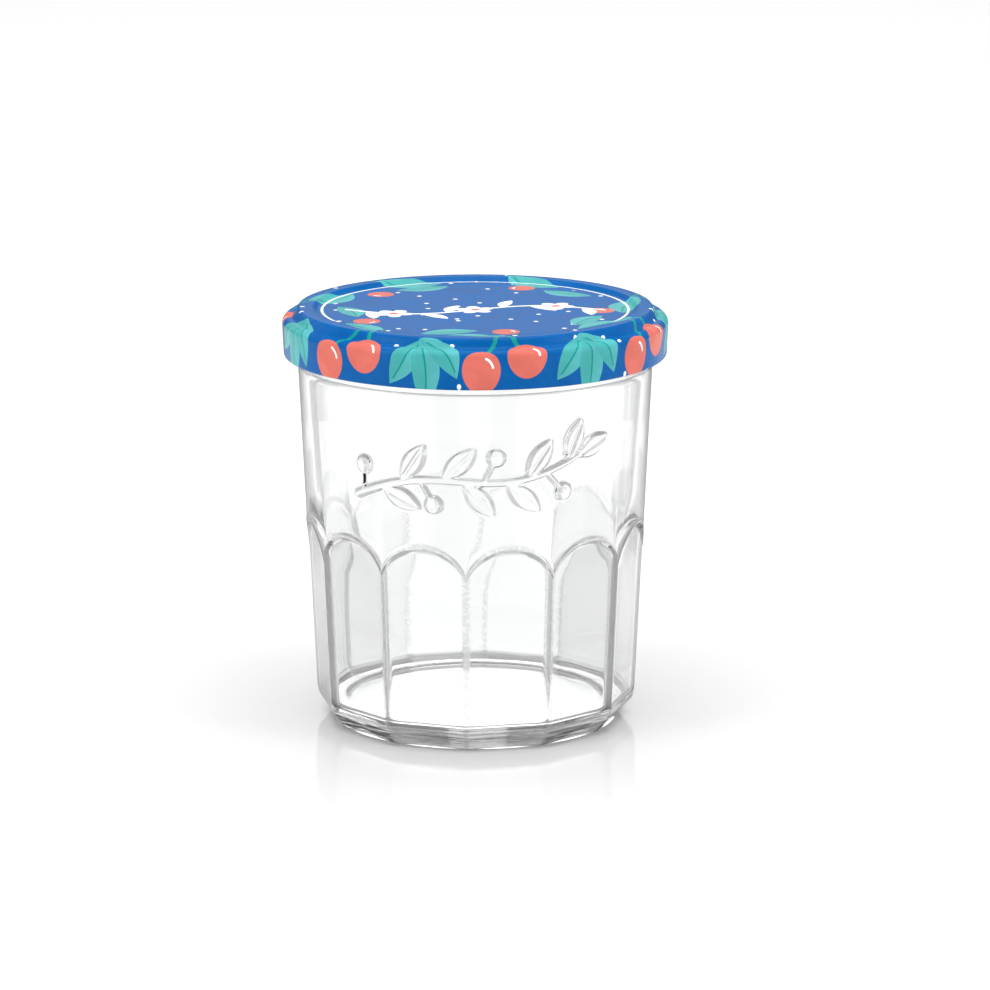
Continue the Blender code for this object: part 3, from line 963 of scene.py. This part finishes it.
def print_masks(nodes, place, reach):
    """The masks of the printing. Each motif joins its mask as soon as it is made."""
    x, y, _ = nodes.split(place)
    masks = {}

    def gather(key, mask):
        masks[key] = nodes.math("MAXIMUM", masks[key], mask) if key in masks else mask

    for kind, middle, turn, sizes in motif_plan() + white_plan():
        name, make, size_names, joins = MOTIFS[kind]
        inputs = {"X": x, "Y": y, "Middle X": middle[0], "Middle Y": middle[1], "Turn": turn}
        made = nodes.use(shared(name, make), {**inputs, **dict(zip(size_names, sizes))})
        for output, key in joins.items():
            gather(key, made[output])
    wave = nodes.math("SINE", nodes.math("DIVIDE", x, SPRAY_WAVE))
    stem = nodes.near(y, nodes.plus(nodes.times(wave, SPRAY_RISE), SPRAY_MIDDLE), 0.55, 0.08)
    stem = nodes.times(stem, nodes.under(nodes.absolute(x), 29.0, 0.1), nodes.under(reach, 32.5, 0.05))
    gather("white", stem)
    gather("white", nodes.near(reach, 34.1, 0.28, INK_EDGE))
    spots = nodes.tree.nodes.new("ShaderNodeTexVoronoi")
    spots.voronoi_dimensions = "2D"
    nodes.feed(spots.inputs, {"Vector": place, "Scale": 0.155})
    few = nodes.add("ShaderNodeSeparateColor", {0: spots.outputs["Color"]})
    dots = nodes.under(spots.outputs["Distance"], 0.085, 0.012)
    masks["dots"] = nodes.times(dots, nodes.under(few, 0.45, 0.01))
    return masks


def print_material(colours, lid):
    """Printed and varnished tinplate: a blue ground with cherries, leaves, blossoms and dots."""
    material, nodes, surface = new_material("printed_tinplate")
    masks = print_masks(nodes, *sheet_place(nodes, lid))
    layers = (
        (masks["dots"], colours.line),
        (masks["stalk"], colours.leaf_dark),
        (masks["leaf"], colours.leaf),
        (nodes.times(masks["half"], 0.30), colours.leaf_dark),
        (masks["rib"], colours.leaf_dark),
        (masks["disc"], colours.fruit),
        (masks["light"], colours.line),
        (masks["white"], colours.line),
        (masks["eye"], colours.fruit),
    )
    ink = (*colours.ground, 1.0)
    for mask, above in layers:
        ink = nodes.paint(mask, ink, (*above, 1.0))
    uneven = grain(nodes, 1.4)
    nodes.feed(surface, {
        "Base Color": nodes.scale(ink, nodes.ramp(uneven["Drift"], 0.3, 0.7, 0.94, 1.06)),
        "Roughness": nodes.ramp(uneven["Drift"], 0.25, 0.75, 0.22, 0.30),
        "Specular IOR Level": 0.06,
        "Coat Weight": 0.03,
        "Coat Roughness": 0.12,
        "Normal": nodes.bump(uneven["Height"], 0.25, 0.00002),
    })
    return material


def mottled_material(name, ink, darker, scale, rough_by, rough, strength, depth):
    """A finish of one ink, mottled with a darker one. The grain's output rough_by varies its roughness."""
    material, nodes, surface = new_material(name)
    uneven = grain(nodes, scale)
    dark = [channel * darker for channel in ink]
    nodes.feed(surface, {
        "Base Color": nodes.paint(nodes.ramp(uneven["Drift"], 0.3, 0.7), (*dark, 1.0), (*ink, 1.0)),
        "Roughness": nodes.ramp(uneven[rough_by], 0.2, 0.8, *rough),
        "Normal": nodes.bump(uneven["Height"], strength, depth),
    })
    return material


def lacquer_material(colours):
    """Pale lacquer on the inside of the lid, a little uneven."""
    return mottled_material("inside_lacquer", colours.lacquer, 0.9, 1.1, "Drift", (0.28, 0.40), 0.3, 0.00003)


def seal_material(colours):
    """Sealing compound: a matt, slightly rough and mottled rubber."""
    return mottled_material("sealing_compound", colours.seal, 0.8, 3.0, "Height", (0.5, 0.7), 0.5, 0.00005)


def facet_masks(nodes, glass, x, y, z):
    """Masks on the jar: flats under the arches, edges and arches, heel, and the wall above the heel."""
    arch, apex = glass.arch_radius * 1000, glass.arch_apex * 1000
    turned = nodes.math("ARCTAN2", x, nodes.times(y, -1.0))
    share = nodes.math("FRACT", nodes.math("DIVIDE", nodes.minus(turned, FRONT_EDGE_ANGLE), FACET_ANGLE))
    share = nodes.minus(share, 0.5)
    across = nodes.times(share, 2 * arch * ARCH_SPREAD)
    rise = nodes.math("SQRT", nodes.minus(arch**2, nodes.times(across, across)))
    above = nodes.minus(z, nodes.plus(rise, apex - arch))
    flats = nodes.under(above, 0.0, 0.5)
    radius = distance(nodes, x, y)
    off_floor = nodes.times(flats, nodes.ramp(radius, 30.8, 32.2))
    edges = nodes.times(nodes.under(nodes.minus(0.5, nodes.absolute(share)), 0.036, 0.022), off_floor)
    walls = nodes.times(off_floor, nodes.ramp(z, 4.8, 5.8))
    heel = nodes.times(nodes.under(z, 4.4, 0.5), nodes.ramp(radius, 31.5, 32.5))
    return flats, nodes.math("MAXIMUM", edges, nodes.near(above, -0.2, 0.7, 0.5)), heel, walls


def glass_material(glass):
    """Clear pressed glass: faintly wavy, blurred along its edges and arches, streaky at the heel, and
    darkened with painted shade beside its middle facets, at its silhouette, on a line at the bead and in
    streaks.
    """
    material, nodes, surface = new_material("clear_glass")
    place = object_place(nodes)
    x, y, z = nodes.split(place)
    flats, edges, heel, walls = facet_masks(nodes, glass, x, y, z)
    facing = nodes.add("ShaderNodeLayerWeight", {"Blend": 0.5}, "Facing")
    # Inside the wall, faces turned from the eye let the light that is caught there out softly.
    inside = nodes.add("ShaderNodeNewGeometry", output="Backfacing")
    caught = nodes.times(inside, walls, nodes.ramp(facing, 0.22, 0.32, 0.0, 0.45))
    wave = nodes.noise(place, 0.2, 1.0)
    rough = nodes.plus(nodes.ramp(wave, 0.35, 0.65, 0.0, 0.012), nodes.times(edges, 0.16))
    # The unevenness is stretched round the jar at the heel, which makes streaks.
    flatter = {"X": nodes.times(x, 0.12), "Y": nodes.times(y, 0.12), "Z": nodes.times(z, 2.2)}
    stretch = {0: heel, 4: place, 5: nodes.add("ShaderNodeCombineXYZ", flatter)}
    uneven = nodes.noise(nodes.add("ShaderNodeMix", stretch, 1, data_type="VECTOR"), 1.3, 1.0)
    amount = nodes.plus(nodes.times(edges, 3.0), nodes.times(heel, 8.0))
    # Painted shade darkens the base colour beside the middle facets, at grazing angles, on a line at the bead
    # and in streaks.
    side_shade = nodes.times(nodes.ramp(facing, 0.12, 0.28, 0.0, 0.25), nodes.under(facing, 0.46, 0.10), flats)
    grazing = nodes.plus(facing, nodes.times(nodes.minus(1.0, flats), 0.09))
    # Painted shade: a fine dark line under the bead.
    line = nodes.near(z, (glass.bead_height - BEAD_SHADE_DROP) * 1000, 0.16, 0.10)
    # Painted shade in dark streaks at the heel, and fainter along the edges and arches.
    deep = nodes.plus(nodes.times(heel, nodes.ramp(facing, 0.40, 0.66, 0.25, 1.0)), nodes.times(edges, 0.16))
    shade_streaks = nodes.times(nodes.ramp(uneven, 0.48, 0.64, 1.0, 0.0), deep)
    painted_shade = nodes.times(
        nodes.minus(0.985, side_shade),
        nodes.ramp(grazing, 0.79, 0.91, 1.0, 0.10),
        nodes.minus(1.0, nodes.times(line, 0.55)),
        nodes.minus(1.0, shade_streaks),
    )
    nodes.feed(surface, {
        "Transmission Weight": 1.0,
        "IOR": 1.50,
        "Base Color": nodes.scale((0.995, 1.0, 1.0), painted_shade),
        "Roughness": nodes.math("MAXIMUM", rough, caught),
        "Normal": nodes.bump(nodes.plus(wave, nodes.times(amount, uneven)), 0.07, 0.0001),
    })
    return material


# The stage.


def floor_material():
    """Pale floor with a soft sheen, bright by itself further away. Its reflections are dim beyond the jar."""
    material, nodes, surface = new_material("studio_floor")
    place = nodes.add("ShaderNodeTexCoord", output="Object")
    away = nodes.vector("LENGTH", place)
    aside = nodes.math("DIVIDE", nodes.absolute(nodes.split(place)[0]), away)
    mirrored = nodes.add("ShaderNodeLightPath", output="Is Glossy Ray")
    dimmed = nodes.ramp(mirrored, 0.0, 1.0, 1.0, nodes.ramp(aside, 0.34, 0.60, 0.40, 1.12))
    nodes.feed(surface, {
        "Base Color": nodes.scale((0.72, 0.72, 0.72), dimmed),
        "Roughness": 0.12,
        "IOR": 1.45,
        "Emission Color": WHITE,
        "Emission Strength": nodes.times(nodes.ramp(away, 0.05, 0.34, 0.04, 0.52), dimmed),
    })
    return material


def glow_patch_material():
    """A glowing disc, painted light that stands in for the brightly lit floor which shows through the foot of
    the jar.
    """
    material, nodes, surface = new_material("floor_glow_patch")
    nodes.feed(surface, {"Emission Color": WHITE, "Emission Strength": 1.5})
    return material


def studio_world():
    """White to the camera. To the glass and the lid, upright white panels with grey between them."""
    world = bpy.data.worlds.new("studio")
    bpy.context.scene.world = world
    world.use_nodes = True
    nodes = Nodes(world.node_tree)
    x, y, z = nodes.split(nodes.add("ShaderNodeTexCoord", output="Generated"))
    turned = nodes.math("ARCTAN2", x, y)
    aside = nodes.absolute(nodes.math("SINE", turned))
    # What is seen through the glass. The grey is kept out of the upper wall, which is seen from just above.
    upper = nodes.times(nodes.near(z, -0.214, 0.026, 0.005), 0.90)
    grey = nodes.math("MAXIMUM", nodes.ramp(aside, 0.42, 0.60, 0.60, 0.96), upper)
    panels = nodes.ramp(nodes.math("COSINE", nodes.times(turned, 8.0)), -0.35, 0.45, grey, 1.07)
    high, low = nodes.ramp(z, 0.05, 0.30, 1.0, 0.70), nodes.ramp(z, -0.62, -0.40, 0.50, 1.0)
    through = nodes.times(panels, high, low)
    # What is mirrored: a bright strip beyond the jar and wide ones at its sides, dim overhead and in front.
    mirrored = nodes.times(
        nodes.plus(nodes.ramp(aside, 0.10, 0.22, 1.0, 0.40), nodes.ramp(aside, 0.43, 0.53, 0.0, 0.45)),
        nodes.ramp(z, 0.30, 0.55, 1.0, 0.35),
        nodes.ramp(z, 0.185, 0.235, 0.28, 1.0),
        nodes.ramp(y, -0.35, 0.15, 0.12, 1.0),
    )
    rays = nodes.tree.nodes.new("ShaderNodeLightPath").outputs
    seen = nodes.blend(rays["Is Transmission Ray"], mirrored, through)
    seen = nodes.blend(rays["Is Diffuse Ray"], seen, 0.60)
    strength = nodes.blend(rays["Is Camera Ray"], seen, 1.0)
    nodes.feed(nodes.tree.nodes["Background"].inputs, {"Color": WHITE, "Strength": strength})


def softbox(name, place, size, power):
    """A square softbox that looks at the middle of the jar."""
    light = bpy.data.lights.new(name, "AREA")
    light.shape = "RECTANGLE"
    light.size, light.size_y = size
    light.energy = power
    lamp = bpy.data.objects.new(name, light)
    bpy.context.scene.collection.objects.link(lamp)
    lamp.location = place
    middle = (0.0, 0.0, 0.05)
    back = [place[i] - middle[i] for i in range(3)]
    tilt = math.atan2(math.hypot(back[0], back[1]), back[2])
    lamp.rotation_euler = (tilt, 0, math.atan2(back[0], -back[1]))
    lamp.visible_camera = False
    return lamp


class JAMJAR_OT_stage(bpy.types.Operator):
    """Make the floor, the lights and the camera"""

    bl_idname = "jam_jar.stage"
    bl_label = "Stage"
    bl_options = {"REGISTER", "UNDO"}

    def execute(self, context):
        stage = context.scene.jam_jar_stage
        deselect_all()
        bpy.ops.mesh.primitive_plane_add(size=stage.floor_size, location=(0, 0, -0.00005))
        floor = context.object
        floor.name = "studio_floor"
        dress(floor, floor_material())
        floor.visible_transmission = False
        # A glowing disc under the foot: painted light for the lit floor seen through the glass.
        under_foot = {"radius": 0.0318, "location": (0, 0, -0.00003)}
        bpy.ops.mesh.primitive_circle_add(vertices=64, fill_type="NGON", **under_foot)
        patch = context.object
        patch.name = "floor_glow_patch"
        dress(patch, glow_patch_material())
        patch.visible_shadow = patch.visible_diffuse = False
        studio_world()
        softbox("top_softbox", (0.0, -0.10, 1.40), (1.5, 1.5), stage.top_light)
        softbox("left_softbox", (-1.0, -0.55, 0.55), (0.5, 0.9), stage.side_light)
        softbox("right_softbox", (1.1, -0.45, 0.60), (0.5, 0.9), stage.side_light)
        bpy.ops.object.camera_add(
            location=(stage.camera_aside, -stage.camera_distance, stage.camera_height),
            rotation=(math.pi / 2 - stage.camera_pitch, 0, 0),
        )
        camera = context.object
        camera.data.lens = stage.camera_lens
        camera.data.clip_end = 20.0
        context.scene.camera = camera
        context.scene.view_settings.view_transform = "Standard"
        return {"FINISHED"}


class JAMJAR_PT_panel(bpy.types.Panel):
    """The jar's pieces and their sizes"""

    bl_idname = "JAMJAR_PT_panel"
    bl_label = "Jam jar"
    bl_space_type = "VIEW_3D"
    bl_region_type = "UI"
    bl_category = "Jam jar"

    def draw(self, context):
        for operator in OPERATORS:
            self.layout.operator(operator.bl_idname)
        for settings in SETTINGS:
            box = self.layout.box()
            for name in SETTINGS[settings].__annotations__:
                box.prop(getattr(context.scene, settings), name)


SETTINGS = {
    "jam_jar_glass": JamJarGlass,
    "jam_jar_lid": JamJarLid,
    "jam_jar_colours": JamJarColours,
    "jam_jar_stage": JamJarStage,
}
OPERATORS = (JAMJAR_OT_glass, JAMJAR_OT_lid, JAMJAR_OT_seal, JAMJAR_OT_stage)
CLASSES = (*SETTINGS.values(), *OPERATORS, JAMJAR_PT_panel)


def register():
    for made in CLASSES:
        bpy.utils.register_class(made)
    for name, kind in SETTINGS.items():
        setattr(bpy.types.Scene, name, bpy.props.PointerProperty(type=kind))


def unregister():
    for name in SETTINGS:
        delattr(bpy.types.Scene, name)
    for made in reversed(CLASSES):
        bpy.utils.unregister_class(made)


def main():
    """Makes every piece and the stage."""
    register()
    bpy.ops.jam_jar.glass()
    bpy.ops.jam_jar.lid()
    bpy.ops.jam_jar.seal()
    bpy.ops.jam_jar.stage()
    deselect_all()


if __name__ == "__main__":
    main()
